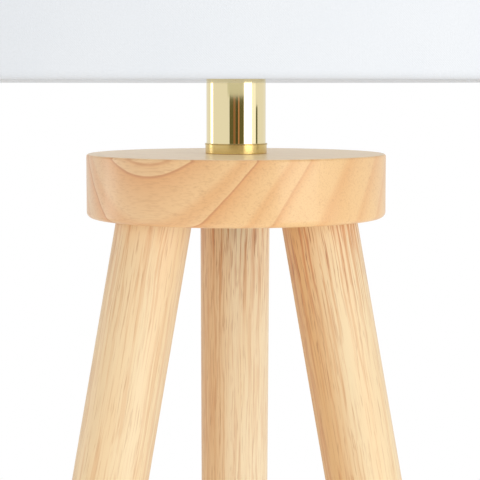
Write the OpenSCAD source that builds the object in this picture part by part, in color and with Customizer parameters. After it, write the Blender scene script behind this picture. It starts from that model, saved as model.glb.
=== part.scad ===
// Tripod floor lamp: three round wooden legs screwed into a thick wooden hub,
// a polished brass neck, a screw lampholder with a turn switch, an LED bulb
// and a white drum shade clamped by a ring. Millimetres, +Z up, with the
// origin on the floor under the neck. The front is towards -Y.

/* [Overall] */
// Height from the floor to the top of the shade
total_h = 1500; // [1300:10:1700]
// Height of neck seen between the hub and the shade's lower edge
neck_show = 33.5; // [26:0.5:40]

/* [Hub] */
// Diameter of the wooden hub
hub_d = 140; // [136:1:160]
// Thickness of the wooden hub
hub_t = 29.5; // [29:0.5:34]
// Radius sanded onto the hub's upper edge
hub_top_r = 1.2; // [0.8:0.1:2.5]
// Radius sanded onto the hub's lower edge
hub_foot_r = 2.6; // [0.8:0.1:3]

/* [Legs] */
// Diameter of each leg
leg_d = 34.5; // [30:0.5:36]
// Lean of each leg away from the vertical, in degrees
leg_splay = 11.2; // [9:0.1:13]
// Distance from the lamp's axis to a leg's axis, at the hub's underside
leg_ring_r = 43.4; // [42:0.1:46]
// Depth of the socket that each leg stands in, along the leg
leg_socket = 10; // [8:0.5:11]

/* [Feet] */
// Diameter of the rubber foot pads
pad_d = 27; // [22:0.5:28]
// Thickness of the rubber foot pads
pad_t = 4; // [3.5:0.5:6]

/* [Neck] */
// Outer diameter of the brass neck tube
neck_d = 27.8; // [26:0.2:30]
// Length of the brass neck tube
neck_len = 60; // [52:1:66]
// How far the brass collars stand out round the tube
collar_wall = 0.5; // [0.4:0.05:2]
// Height of the brass collars
collar_h = 4.8; // [3.5:0.1:7]

/* [Shade] */
// Outer diameter of the drum shade
shade_d = 450; // [380:5:500]
// Height of the drum shade
shade_h = 250; // [220:5:300]
// Diameter of the wires in the shade's frame
wire_d = 3.5; // [3:0.1:4]

/* [Cord outlet] */
// Inside diameter of the bush that the mains lead passes through
outlet_bore = 7; // [6:0.1:7.5]

/* [Hidden] */
$fn = 96;

// Colours
wood_pale = "#e8c496";
wood_hub = "#e2b184";
brass = "#d8c07a";
zinc = "#b4b6ba";
black = "#26262a";
white = "#f1f3f6";
rubber = "#3b3431";
ceramic = "#e9e4d8";

// Levels above the floor
hub_top = total_h - shade_h - neck_show;
hub_bottom = hub_top - hub_t;
shade_bottom = hub_top + neck_show;
shade_top = shade_bottom + shade_h;
slack = 0.05;               // gap between faces that press together
fit = 0.2;                  // gap around a shaft in its hole
past = 1;                   // how far a cutting shape runs past a face that it opens

// The legs stand at even turns, one of them straight behind the neck
leg_turns = [90, 210, 330];
leg_reach = hub_bottom / cos(leg_splay) + leg_d;
foot_r = leg_ring_r + (hub_bottom - pad_t) * tan(leg_splay);
bolt_d = 8;
bolt_in_leg = 32;
bolt_in_hub = 12;
bolt_end_room = 1;
insert_d = 12;
insert_h = 13;

// Foot screws, driven upwards through the pads
screw_d = 3.5;
screw_head_d = 7;
screw_head_h = 2;
screw_sunk = 1.2;
screw_len = 20;
pad_edge = 1;               // slope round the pad's lower edge

// The pocket under the hub holds the rod's nut and lets the lead turn into the rod
pocket_d = 38;
pocket_h = 16;
cover_d = 45.6;
cover_t = 2;
washer_d = 28;
washer_t = 1.5;
hub_nut_af = 17;
hub_nut_h = 5;
rod_d = 10;
rod_bore = 7.6;
rod_spare = 1;              // rod that stands out under its lower nut
rod_over = 3;               // and over its upper one
rod_foot = hub_bottom + pocket_h - washer_t - hub_nut_h - rod_spare;

// The lead leaves through the hub's rim at the back, between two legs
outlet_turn = 150;
outlet_d = 8;
outlet_z = hub_bottom + 7;
outlet_overlap = 2;
bush_d = 12;
bush_len = 14;
bush_flange_d = 15;
bush_flange_t = 1.6;
bush_flange_slope = 1;

// Neck and lampholder levels
collar_d = neck_d + 2 * collar_wall;
collar_floor = 1;
collar_edge = 0.2;
collar_bead = 0.25;
collar_bead_h = 0.7;
neck_z = hub_top + collar_floor + slack;
neck_wall = 0.9;
cap_floor_z = neck_z + neck_len + slack;
holder_z = cap_floor_z + collar_floor + slack;
holder_d = 38;
holder_wall = 2;
holder_cap_h = 30;
holder_round = 6;
holder_floor = 2.5;
holder_nut_af = 14;
holder_nut_h = 4;
shell_z = holder_z + holder_cap_h + slack;
shell_h = 38;
shell_bore = 33.8;
flange_d = 46;
flange_t = 2.5;
thread_pitch = 2.5;
thread_depth = 0.8;
thread_start = 5;
shoulder_d = 35.4;
shoulder_h = 2.2;
block_z = shell_z - slack - shoulder_h;
block_d = 33.4;
block_h = 10;
sleeve_z = block_z + block_h + slack;
sleeve_h = 24;
sleeve_d = 28;
sleeve_wall = 0.5;
terminal_turns = [90, 270];
terminal_r = 11;
terminal_d = 3;
terminal_hole_h = 6;
terminal_head_d = 5;
terminal_head_h = 2;
contact_w = 5;
contact_len = 8;
contact_t = 0.8;
contact_rise = 2.1;         // height of the bent tongue over the base of the centre contact

// Turn switch in the lampholder's cap, pointing to +X
switch_z = holder_z + 18.5;
stem_d = 5;
stem_in_knob = 7;
drum_d = 11;
drum_from = 3;
drum_len = 9;
strip_t = 0.5;
strip_w = 7;
strip_below = 3;            // how far the spring strips reach below the drum's axis
dimple = [4, 0.5, 2];       // bump on each strip that rides on the drum
knob_d = 13;
knob_len = 15;
knob_gap = 1;
knob_edge = 1;
knob_flutes = 12;
knob_plain = 3;             // plain band between the knob's foot and its flutes
flute_d = 2.4;

// The shade hangs on the lampholder's flange, under its ring
fitter_z = shell_z + flange_t + fit;
fitter_t = 2;
fitter_bore = 40.2;
fitter_d = 54;
arm_d = wire_d - 0.5;
arm_turns = [30, 150, 270];
arm_start = fitter_d / 2 - 1.5;
arm_top_z = fitter_z + fitter_t / 2;
ring_z = fitter_z + fitter_t + 0.4;
ring_h = 8;
ring_bore = holder_d + 1.6;
ring_d = 47;
ring_lip_d = 53;
ring_lip_t = 2;
ring_notches = 24;
notch_d = 2.4;

// Shade skin, from the outside in
cover_skin = 0.5;
liner_skin = 0.6;
liner_short = 1;            // how much the stiff lining stops short of the cloth at each edge
hem_skin = 0.5;
hem_h = 10;
cover_r = shade_d / 2;
liner_r = cover_r - cover_skin - slack;
hem_r = wire_d / 2 + 0.1 + hem_skin;
wire_r = liner_r - liner_skin - slack - hem_r;
arm_fall = atan2(arm_top_z - shade_bottom - hem_r, wire_r - arm_start);
arm_len = norm([wire_r - arm_start, arm_top_z - shade_bottom - hem_r]);

// Bulb, measured up from its contact button
bulb_z = sleeve_z + 3.2;
button_d = 9;
button_h = 2;
insulator_top_d = 22;
insulator_h = 4.5;
bulb_thread_d = 26.2;
bulb_thread_depth = 0.9;
bulb_thread_turns = 5;
bulb_thread_pitch = 3.6;
bulb_cap_z = button_h + insulator_h;
bulb_cap_h = bulb_thread_turns * bulb_thread_pitch + 2;
bulb_body_z = bulb_cap_z + bulb_cap_h;
bulb_body_h = 34;
globe_d = 60;
globe_z = bulb_body_z + bulb_body_h;
globe_len = 46;
globe_wall = 1.2;
led_plate_d = globe_d - 14;
led_plate_t = 1.6;
led_chips = 10;
led_chip = 3;
led_chip_t = 0.8;

// Points of an arc, from one angle to another
function arc(centre, r, from, to, steps = 8) =
    [for (i = [0:steps]) let (a = from + (to - from) * i / steps) centre + r * [cos(a), sin(a)]];

// Turns what is drawn for one leg to the leg's own axis, with +Z up along it and its
// zero where the axis meets the hub's underside
module on_leg(turn) {
    rotate([0, 0, turn]) translate([leg_ring_r, 0, hub_bottom]) rotate([0, -leg_splay, 0])
        children();
}

// Places what is drawn at the middle of one leg's foot, on the floor
module at_foot(turn) {
    rotate([0, 0, turn]) translate([foot_r, 0, 0]) children();
}

// Places a shaft or bore that runs outwards from the lamp's axis
module outwards(turn, from, z) {
    rotate([0, 0, turn]) translate([from, 0, z]) rotate([0, 90, 0]) children();
}

module pipe(d, bore, h) {
    difference() {
        cylinder(d = d, h = h);
        translate([0, 0, -past]) cylinder(d = bore, h = h + 2 * past);
    }
}

module hex_nut(af, bore, h) {
    difference() {
        cylinder(d = af / cos(30), h = h, $fn = 6);
        translate([0, 0, -past]) cylinder(d = bore, h = h + 2 * past);
    }
}

// ---- wooden stand ----

module hub() {
    rim = hub_d / 2;
    color(wood_hub) difference() {
        rotate_extrude() polygon(concat(
            [[0, hub_bottom]],
            arc([rim - hub_foot_r, hub_bottom + hub_foot_r], hub_foot_r, -90, 0),
            arc([rim - hub_top_r, hub_top - hub_top_r], hub_top_r, 0, 90),
            [[0, hub_top]]));
        translate([0, 0, hub_bottom - past]) {
            cylinder(d = rod_d + 2 * fit, h = hub_t + 2 * past);
            cylinder(d = pocket_d, h = pocket_h + past);
            cylinder(d = cover_d + 2 * fit, h = cover_t + past + slack);
        }
        for (turn = leg_turns) on_leg(turn) {
            translate([0, 0, -leg_d / 2]) cylinder(d = leg_d + fit, h = leg_d / 2 + leg_socket);
            cylinder(d = insert_d + fit, h = leg_socket + insert_h + bolt_end_room);
        }
        outwards(outlet_turn, pocket_d / 2 - outlet_overlap, outlet_z) cylinder(d = outlet_d, h = rim);
        outwards(outlet_turn, rim - bush_len, outlet_z) cylinder(d = bush_d + slack, h = rim);
    }
}

// Each leg is sawn level where it stands on its pad
module leg(turn) {
    saw = 4 * leg_d;
    color(wood_pale) difference() {
        on_leg(turn) translate([0, 0, -leg_reach]) cylinder(d = leg_d, h = leg_reach + leg_socket - slack);
        at_foot(turn) translate([-saw / 2, -saw / 2, -saw]) cube([saw, saw, saw + pad_t + slack]);
        on_leg(turn) translate([0, 0, leg_socket - bolt_in_leg - bolt_end_room])
            cylinder(d = bolt_d + fit, h = bolt_in_leg + bolt_end_room + past);
        at_foot(turn) cylinder(d = screw_d + fit, h = pad_t + screw_len);
    }
}

module leg_inserts() {
    color(zinc) for (turn = leg_turns)
        on_leg(turn) translate([0, 0, leg_socket + slack]) pipe(insert_d, bolt_d + fit, insert_h);
}

module hanger_bolts() {
    color(zinc) for (turn = leg_turns)
        on_leg(turn) translate([0, 0, leg_socket - bolt_in_leg])
            cylinder(d = bolt_d, h = bolt_in_leg + bolt_in_hub);
}

module foot_pad(turn) {
    color(rubber) at_foot(turn) difference() {
        union() {
            cylinder(d1 = pad_d - 2 * pad_edge, d2 = pad_d, h = pad_edge);
            translate([0, 0, pad_edge]) cylinder(d = pad_d, h = pad_t - pad_edge);
        }
        translate([0, 0, -past])
            cylinder(d = screw_head_d + 2 * fit, h = past + screw_sunk + screw_head_h + slack);
        cylinder(d = screw_d + 2 * fit, h = pad_t + past);
    }
}

module foot_screws() {
    color(zinc) for (turn = leg_turns) at_foot(turn) translate([0, 0, screw_sunk]) {
        cylinder(d = screw_head_d, h = screw_head_h);
        cylinder(d = screw_d, h = screw_len - screw_sunk);
    }
}

// ---- clamp under the hub and the cord's way out ----

module hub_cover() {
    color(black) translate([0, 0, hub_bottom]) cylinder(d = cover_d, h = cover_t);
}

module hub_washer() {
    color(zinc) translate([0, 0, hub_bottom + pocket_h - washer_t]) pipe(washer_d, rod_d + 2 * fit, washer_t);
}

module hub_nut() {
    color(zinc) translate([0, 0, hub_bottom + pocket_h - washer_t - slack - hub_nut_h])
        hex_nut(hub_nut_af, rod_d + fit, hub_nut_h);
}

module threaded_rod() {
    color(zinc) translate([0, 0, rod_foot])
        pipe(rod_d, rod_bore, holder_z + holder_floor + holder_nut_h + rod_over - rod_foot);
}

module cord_bush() {
    rim = hub_d / 2;
    color(black) difference() {
        union() {
            outwards(outlet_turn, rim - bush_len + slack, outlet_z) cylinder(d = bush_d, h = bush_len + past);
            outwards(outlet_turn, rim + slack, outlet_z)
                cylinder(d1 = bush_flange_d, d2 = bush_flange_d - bush_flange_slope, h = bush_flange_t);
        }
        outwards(outlet_turn, rim - bush_len - past, outlet_z)
            cylinder(d = outlet_bore, h = bush_len + bush_flange_t + 2 * past);
    }
}

// ---- brass neck ----

// A shallow pressed cup with a hole for the rod and a thin bead round its mouth
module collar() {
    r = collar_d / 2;
    bead_r = r + collar_bead;
    rod_r = rod_d / 2 + fit;
    seat_r = neck_d / 2 + slack;
    rotate_extrude() polygon([
        [rod_r, 0], [r - collar_edge, 0], [r, collar_edge],
        [r, collar_h - collar_bead_h], [bead_r, collar_h - collar_bead_h + collar_edge / 2],
        [bead_r, collar_h - collar_edge], [bead_r - collar_edge, collar_h],
        [seat_r, collar_h], [seat_r, collar_floor], [rod_r, collar_floor]]);
}

module neck_collar() {
    color(brass) translate([0, 0, hub_top]) collar();
}

module neck_tube() {
    color(brass) translate([0, 0, neck_z]) pipe(neck_d, neck_d - 2 * neck_wall, neck_len);
}

module neck_cap() {
    color(brass) translate([0, 0, cap_floor_z + collar_floor]) mirror([0, 0, 1]) collar();
}

// ---- lampholder ----

module holder_nut() {
    color(zinc) translate([0, 0, holder_z + holder_floor + slack])
        hex_nut(holder_nut_af, rod_d + fit, holder_nut_h);
}

module holder_cap() {
    r = holder_d / 2;
    bore_r = r - holder_wall;
    inner_round = holder_round - 1;
    color(black) difference() {
        translate([0, 0, holder_z]) rotate_extrude() difference() {
            polygon(concat(
                [[0, 0], [collar_d / 2 - holder_wall, 0]],
                arc([r - holder_round, holder_round], holder_round, -60, 0, 5),
                [[r, holder_cap_h], [0, holder_cap_h]]));
            polygon(concat(
                [[-past, holder_floor]],
                arc([bore_r - inner_round, holder_floor + inner_round], inner_round, -90, 0, 5),
                [[bore_r, holder_cap_h + past], [-past, holder_cap_h + past]]));
        }
        translate([0, 0, holder_z - past]) cylinder(d = rod_d + 2 * fit, h = holder_floor + 2 * past);
        translate([0, 0, block_z - slack]) cylinder(d = shoulder_d + 2 * fit, h = shoulder_h + past);
        outwards(0, bore_r - 2 * past, switch_z) cylinder(d = stem_d + 2 * fit, h = holder_wall + 6 * past);
    }
}

// The shell's thread is cut as rings, which is where its turns lie
module holder_shell() {
    r = holder_d / 2;
    turns = floor((shell_h - flange_t - thread_start) / thread_pitch);
    color(black) translate([0, 0, shell_z]) rotate_extrude() difference() {
        polygon(concat(
            [[0, 0], [flange_d / 2, 0], [flange_d / 2, flange_t], [r, flange_t], [r, thread_start]],
            [for (i = [0:turns - 1], k = [0:3])
                [r - (k == 1 || k == 2 ? thread_depth : 0),
                 thread_start + thread_pitch * (i + 0.25 * k)]],
            [[r, shell_h], [0, shell_h]]));
        translate([-past, -past]) square([past + shell_bore / 2, shell_h + 2 * past]);
    }
}

module contact_block() {
    color(ceramic) difference() {
        union() {
            translate([0, 0, block_z]) cylinder(d = shoulder_d, h = shoulder_h);
            translate([0, 0, block_z]) cylinder(d = block_d, h = block_h);
        }
        for (turn = terminal_turns) rotate([0, 0, turn]) translate([terminal_r, 0, block_z - past])
            cylinder(d = terminal_d + fit, h = terminal_hole_h + past);
    }
}

module screw_sleeve() {
    color(brass) translate([0, 0, sleeve_z]) pipe(sleeve_d, sleeve_d - 2 * sleeve_wall, sleeve_h);
}

// A spring strip folded back over itself
module centre_contact() {
    bend = 2;
    color(brass) translate([-contact_len / 2, -contact_w / 2, sleeve_z]) {
        cube([contact_len, contact_w, contact_t]);
        translate([contact_len - bend, 0, 0]) cube([bend, contact_w, contact_rise + contact_t]);
        translate([0, 0, contact_rise]) cube([contact_len, contact_w, contact_t]);
    }
}

module terminal_screws() {
    head_z = block_z - slack - terminal_head_h;
    color(brass) for (turn = terminal_turns) rotate([0, 0, turn]) translate([terminal_r, 0, head_z]) {
        cylinder(d = terminal_head_d, h = terminal_head_h);
        cylinder(d = terminal_d, h = terminal_head_h + terminal_hole_h - past);
    }
}

// ---- turn switch ----

// Two spring strips that the drum's cam presses apart, hung from the block
module switch_contacts() {
    strip_h = block_z - slack - switch_z + strip_below;
    strip_from = drum_from + 1;
    strip_y = drum_d / 2 + 0.3 + strip_t;
    dimple_x = strip_from + (strip_w - dimple.x) / 2;
    dimple_y = strip_y - strip_t / 2;
    color(brass) for (side = [-1, 1]) {
        translate([strip_from, side * strip_y - strip_t / 2, switch_z - strip_below])
            cube([strip_w, strip_t, strip_h]);
        translate([dimple_x, side * dimple_y - dimple.y / 2, switch_z - dimple.z / 2]) cube(dimple);
    }
}

module switch_rotor() {
    color(brass) {
        outwards(0, drum_from, switch_z) cylinder(d = drum_d, h = drum_len);
        outwards(0, drum_from, switch_z)
            cylinder(d = stem_d, h = holder_d / 2 + knob_gap + stem_in_knob - drum_from);
    }
}

module switch_knob() {
    foot = holder_d / 2 + knob_gap;
    color(black) difference() {
        outwards(0, foot, switch_z) union() {
            cylinder(d = knob_d, h = knob_len - knob_edge);
            translate([0, 0, knob_len - knob_edge])
                cylinder(d1 = knob_d, d2 = knob_d - 2 * knob_edge, h = knob_edge);
        }
        outwards(0, foot - past, switch_z) cylinder(d = stem_d + 2 * slack, h = past + stem_in_knob + fit);
        outwards(0, foot + knob_plain, switch_z) for (i = [0:knob_flutes - 1])
            rotate([0, 0, 360 / knob_flutes * i]) translate([knob_d / 2 + flute_d / 4, 0, 0])
                cylinder(d = flute_d, h = knob_len);
    }
}

// ---- shade ----

module shade_ring() {
    color(black) difference() {
        translate([0, 0, ring_z]) union() {
            cylinder(d = ring_lip_d, h = ring_lip_t);
            cylinder(d = ring_d, h = ring_h);
        }
        translate([0, 0, ring_z - past]) cylinder(d = ring_bore, h = ring_h + 2 * past);
        for (i = [0:ring_notches - 1]) rotate([0, 0, 360 / ring_notches * i])
            translate([ring_d / 2 + notch_d / 6, 0, ring_z + ring_lip_t]) cylinder(d = notch_d, h = ring_h);
    }
}

// The arms fall in a straight line from the clamped ring to the lower wire
module on_arm(turn) {
    rotate([0, 0, turn]) translate([arm_start, 0, arm_top_z]) rotate([0, 90 + arm_fall, 0]) children();
}

// The ring that the lampholder clamps, with three arms whose ends are welded to the lower wire
module shade_fitter() {
    arm_room = 5;
    color(white) difference() {
        union() {
            translate([0, 0, fitter_z]) cylinder(d = fitter_d, h = fitter_t);
            for (turn = arm_turns) on_arm(turn) cylinder(d = arm_d, h = arm_len);
        }
        translate([0, 0, fitter_z - arm_room]) cylinder(d = fitter_bore, h = 2 * arm_room);
        translate([0, 0, fitter_z - arm_room]) cylinder(d = flange_d + 2, h = arm_room);
        translate([0, 0, fitter_z + fitter_t]) cylinder(d = ring_lip_d + 2, h = arm_room);
        shade_wire(shade_bottom + hem_r);
    }
}

module shade_wire(z) {
    translate([0, 0, z]) rotate_extrude() translate([wire_r, 0]) circle(d = wire_d, $fn = 32);
}

module shade_lower_wire() {
    color(white) shade_wire(shade_bottom + hem_r);
}

module shade_upper_wire() {
    color(white) shade_wire(shade_top - hem_r);
}

module shade_liner() {
    color(white) translate([0, 0, shade_bottom + liner_short])
        pipe(2 * liner_r, 2 * (liner_r - liner_skin), shade_h - 2 * liner_short);
}

module shade_cover() {
    color(white) translate([0, 0, shade_bottom]) pipe(shade_d, shade_d - 2 * cover_skin, shade_h);
}

// A strip of the cloth wrapped round the wire, then glued up the liner's face
module hem_profile() {
    wire = [wire_r, hem_r];
    in_r = hem_r - hem_skin;
    face_r = wire_r + hem_r;
    polygon(concat(
        arc(wire, hem_r, 355, 90, 14),
        [[face_r - hem_skin, 2 * hem_r], [face_r - hem_skin, hem_h],
         [face_r, hem_h], [face_r, 2 * hem_r - hem_skin]],
        arc(wire, in_r, 90, 355, 14)));
}

module shade_lower_hem() {
    color(white) difference() {
        translate([0, 0, shade_bottom]) rotate_extrude() hem_profile();
        for (turn = arm_turns) on_arm(turn)
            translate([0, 0, arm_len - hem_h]) cylinder(d = arm_d + 1, h = hem_h);
    }
}

module shade_upper_hem() {
    color(white) translate([0, 0, shade_top]) mirror([0, 0, 1]) rotate_extrude() hem_profile();
}

// ---- bulb ----

module bulb_contact() {
    color(zinc) translate([0, 0, bulb_z]) cylinder(d1 = button_d - 2, d2 = button_d, h = button_h);
}

module bulb_insulator() {
    color(black) translate([0, 0, bulb_z + button_h])
        cylinder(d1 = button_d + 1, d2 = insulator_top_d, h = insulator_h);
}

module bulb_cap() {
    r = bulb_thread_d / 2;
    steps = 6;
    color(zinc) translate([0, 0, bulb_z + bulb_cap_z]) rotate_extrude() polygon(concat(
        [[0, 0], [insulator_top_d / 2 + 0.5, 0]],
        [for (i = [0:bulb_thread_turns * steps])
            [r - bulb_thread_depth * (0.5 + 0.5 * cos(360 * i / steps)), 1 + bulb_thread_pitch * i / steps]],
        [[r - bulb_thread_depth, bulb_cap_h], [0, bulb_cap_h]]));
}

module bulb_body() {
    neck_r = bulb_thread_d / 2 - 0.5;
    swell = globe_d / 2 - globe_wall / 2 - neck_r;
    well_h = 10;
    rim_w = 6;
    steps = 10;
    color(white) translate([0, 0, bulb_z + bulb_body_z]) rotate_extrude() difference() {
        polygon(concat(
            [[0, 0], [neck_r, 0]],
            [for (i = [1:steps]) [neck_r + swell * sin(90 * i / steps) ^ 1.5, bulb_body_h * i / steps]],
            [[0, bulb_body_h]]));
        translate([-past, bulb_body_h - well_h]) square([past + globe_d / 2 - rim_w, well_h + past]);
    }
}

module globe_outline(r, len) {
    polygon(concat([[0, 0]],
        [for (i = [0:16]) [r * cos(90 * i / 16) ^ 0.9, len * sin(90 * i / 16)]],
        [[0, len]]));
}

module bulb_globe() {
    color(white) translate([0, 0, bulb_z + globe_z + slack]) rotate_extrude() difference() {
        globe_outline(globe_d / 2, globe_len);
        translate([0, -0.01]) globe_outline(globe_d / 2 - globe_wall, globe_len - globe_wall);
    }
}

module led_plate() {
    sunk = 0.6;
    color(ceramic) translate([0, 0, bulb_z + globe_z - 4]) {
        cylinder(d = led_plate_d, h = led_plate_t);
        for (i = [0:led_chips - 1]) rotate([0, 0, 360 / led_chips * i])
            translate([led_plate_d / 2 - 2 * led_chip, -led_chip / 2, led_plate_t - sunk])
                cube([led_chip, led_chip, led_chip_t + sunk]);
    }
}

hub();
leg(leg_turns[0]);  // leg_back
leg(leg_turns[1]);  // leg_left
leg(leg_turns[2]);  // leg_right
leg_inserts();
hanger_bolts();
foot_pad(leg_turns[0]);  // foot_pad_back
foot_pad(leg_turns[1]);  // foot_pad_left
foot_pad(leg_turns[2]);  // foot_pad_right
foot_screws();
hub_cover();
hub_washer();
hub_nut();
threaded_rod();
cord_bush();
neck_collar();
neck_tube();
neck_cap();
holder_nut();
holder_cap();
holder_shell();
contact_block();
screw_sleeve();
centre_contact();
terminal_screws();
switch_contacts();
switch_rotor();
switch_knob();
shade_ring();
shade_fitter();
shade_lower_wire();
shade_upper_wire();
shade_liner();
shade_cover();
shade_lower_hem();
shade_upper_hem();
bulb_contact();
bulb_insulator();
bulb_cap();
bulb_body();
bulb_globe();
led_plate();
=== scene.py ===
import math
import random

import bmesh
import bpy
from mathutils import Matrix, Vector


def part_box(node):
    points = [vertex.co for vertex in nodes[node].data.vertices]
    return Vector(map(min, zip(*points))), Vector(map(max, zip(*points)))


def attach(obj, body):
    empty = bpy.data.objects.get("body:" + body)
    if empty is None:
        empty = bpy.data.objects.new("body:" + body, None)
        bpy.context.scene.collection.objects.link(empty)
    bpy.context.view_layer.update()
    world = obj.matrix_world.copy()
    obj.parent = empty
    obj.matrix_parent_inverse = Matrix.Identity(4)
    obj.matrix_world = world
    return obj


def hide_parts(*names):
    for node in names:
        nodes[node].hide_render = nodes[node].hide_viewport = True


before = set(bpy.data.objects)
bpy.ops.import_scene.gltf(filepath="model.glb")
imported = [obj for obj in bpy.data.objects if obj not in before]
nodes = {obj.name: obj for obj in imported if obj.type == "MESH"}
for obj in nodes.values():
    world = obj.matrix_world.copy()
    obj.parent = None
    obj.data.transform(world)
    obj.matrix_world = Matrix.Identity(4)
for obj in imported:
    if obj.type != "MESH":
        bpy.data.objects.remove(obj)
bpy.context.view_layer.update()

hub_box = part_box("hub")
shade_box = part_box("shade_cover")


# ---- Camera ----
# A long lens close to the hub, a little above its top and tipped gently down, so that the hub's
# face shows as a thin sliver and the two front legs stand almost symmetrically about the neck.

lens_mm = 120
eye_distance = 0.751
eye_above_hub = 0.0305
eye_azimuth = math.radians(-0.7)
eye_turn = math.radians(0.14)
eye_tip = math.radians(5.428)

camera = bpy.data.objects.new("camera", bpy.data.cameras.new("camera"))
bpy.context.collection.objects.link(camera)
bpy.context.scene.camera = camera
camera.data.lens = lens_mm
camera.location = (
    eye_distance * math.sin(eye_azimuth),
    -eye_distance * math.cos(eye_azimuth),
    hub_box[1].z + eye_above_hub,
)
camera.rotation_euler = (math.pi / 2 - eye_tip, 0, eye_azimuth - eye_turn)


# ---- Studio ----
# A plain pale floor under a white sky, a soft lamp at the front right, and a wide faint one in front.
# Cards that only mirrors see stand round the lamp, light and dark, for the brass to reflect.

bpy.context.scene.view_settings.view_transform = "Standard"


def put(tree, kind, inputs=(), **settings):
    """Adds a shader node. inputs maps a socket to a number, a colour or another node's output."""
    node = tree.nodes.new("ShaderNode" + kind)
    for name, value in settings.items():
        setattr(node, name, value)
    for name, value in dict(inputs).items():
        if isinstance(value, bpy.types.NodeSocket):
            tree.links.new(value, node.inputs[name])
        else:
            node.inputs[name].default_value = value
    return node


def finish(name, colour=(0.8, 0.8, 0.8), **numbers):
    """A new material with these plain numbers on its shader. Returns it, its tree and its shader."""
    material = bpy.data.materials.new(name)
    material.use_nodes = True
    shader = material.node_tree.nodes["Principled BSDF"]
    shader.inputs["Base Color"].default_value = (*colour, 1)
    for socket, value in numbers.items():
        shader.inputs[socket.replace("_", " ")].default_value = value
    return material, material.node_tree, shader


sky = bpy.data.worlds.new("sky")
bpy.context.scene.world = sky
sky.use_nodes = True
sky_tree = sky.node_tree
seen_directly = put(sky_tree, "LightPath").outputs["Is Camera Ray"]
sky_light = 0.855
sky_strength = put(sky_tree, "MapRange", {"Value": seen_directly, "To Min": sky_light, "To Max": 1.0})
sky_tree.nodes["Background"].inputs["Color"].default_value = (1, 1, 1, 1)
sky_tree.links.new(sky_strength.outputs[0], sky_tree.nodes["Background"].inputs["Strength"])

floor_radius = 3.6
disc = bmesh.new()
bmesh.ops.create_circle(disc, cap_ends=True, segments=96, radius=floor_radius)
floor_mesh = bpy.data.meshes.new("studio_floor")
disc.to_mesh(floor_mesh)
disc.free()
floor_mesh.materials.append(finish("pale_floor", (0.92, 0.92, 0.915), Roughness=0.7)[0])
floor = bpy.data.objects.new("studio_floor", floor_mesh)
bpy.context.collection.objects.link(floor)


def soft_lamp(name, azimuth, distance, height, width, tall, watts, mirrored=True):
    """A rectangular lamp that faces the hub. Azimuth 0 is the front."""
    turn = math.radians(azimuth)
    light = bpy.data.lights.new(name, "AREA")
    light.shape = "RECTANGLE"
    light.size, light.size_y, light.energy = width, tall, watts
    lamp = bpy.data.objects.new(name, light)
    bpy.context.collection.objects.link(lamp)
    lamp.location = (distance * math.sin(turn), -distance * math.cos(turn), height)
    facing = Vector((0, 0, hub_box[1].z)) - lamp.location
    lamp.rotation_euler = facing.to_track_quat("-Z", "Y").to_euler()
    lamp.visible_camera = False
    lamp.visible_glossy = mirrored


soft_lamp("key_lamp", 47, 2.4, 1.1, 1.34, 0.9, 9.4)
soft_lamp("front_lamp", 6, 3.4, 2.0, 6.0, 2.0, 24, mirrored=False)


def card(name, azimuth, distance, width, low, high, colour):
    """An upright card that only mirrors see, standing square to the lamp's axis."""
    mesh = bpy.data.meshes.new(name)
    shape = bmesh.new()
    bmesh.ops.create_grid(shape, x_segments=1, y_segments=1, size=0.5)
    bmesh.ops.scale(shape, verts=shape.verts, vec=(width, high - low, 1))
    upright = Matrix.Rotation(math.pi / 2, 4, "X")
    turn = Matrix.Rotation(math.radians(azimuth), 4, "Z")
    place = Matrix.Translation((0, -distance, (low + high) / 2))
    bmesh.ops.transform(shape, matrix=turn @ place @ upright, verts=shape.verts)
    shape.to_mesh(mesh)
    shape.free()
    board = bpy.data.objects.new(name, mesh)
    bpy.context.collection.objects.link(board)
    paint, _, glow = finish(name + "_paint", (0, 0, 0), Roughness=1.0, Specular_IOR_Level=0.0)
    glow.inputs["Emission Color"].default_value = (*colour, 1)
    glow.inputs["Emission Strength"].default_value = 1.0
    board.data.materials.append(paint)
    for ray in ("visible_camera", "visible_diffuse", "visible_shadow", "visible_transmission"):
        setattr(board, ray, False)


card_foot = 0.2
card_top = hub_box[1].z + 0.010
dim_top = card_top + 0.05
card("card_dim", -4, 3.2, 3.7, card_top, dim_top, (0.66, 0.66, 0.58))
card("card_olive", 1.3, 3.0, 3.1, card_foot, card_top, (0.13, 0.12, 0.05))
card("card_brown", -7.2, 2.9, 0.40, card_foot, card_top, (0.30, 0.15, 0.07))
card("card_black", 3, 2.8, 0.16, card_foot, card_top, (0.02, 0.03, 0.01))
card("card_rust", 9.6, 2.7, 0.24, card_foot, card_top, (0.52, 0.25, 0.13))
card("card_cream", 72, 2.1, 0.62, card_foot, 2.6, (1.10, 1.12, 1.15))
card("card_side", 86.5, 2.0, 0.30, card_foot, hub_box[1].z, (0.12, 0.12, 0.06))
card("card_bright", -109, 2.0, 0.52, 0.6, 1.6, (2.4, 2.4, 2.4))


# ---- Hub ----
# A thick disc turned from one plank of pale hardwood, clear lacquered. Its fibres run level and
# nearly across, so growth rings sweep round the rim as cupped arcs at the front left.

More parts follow.
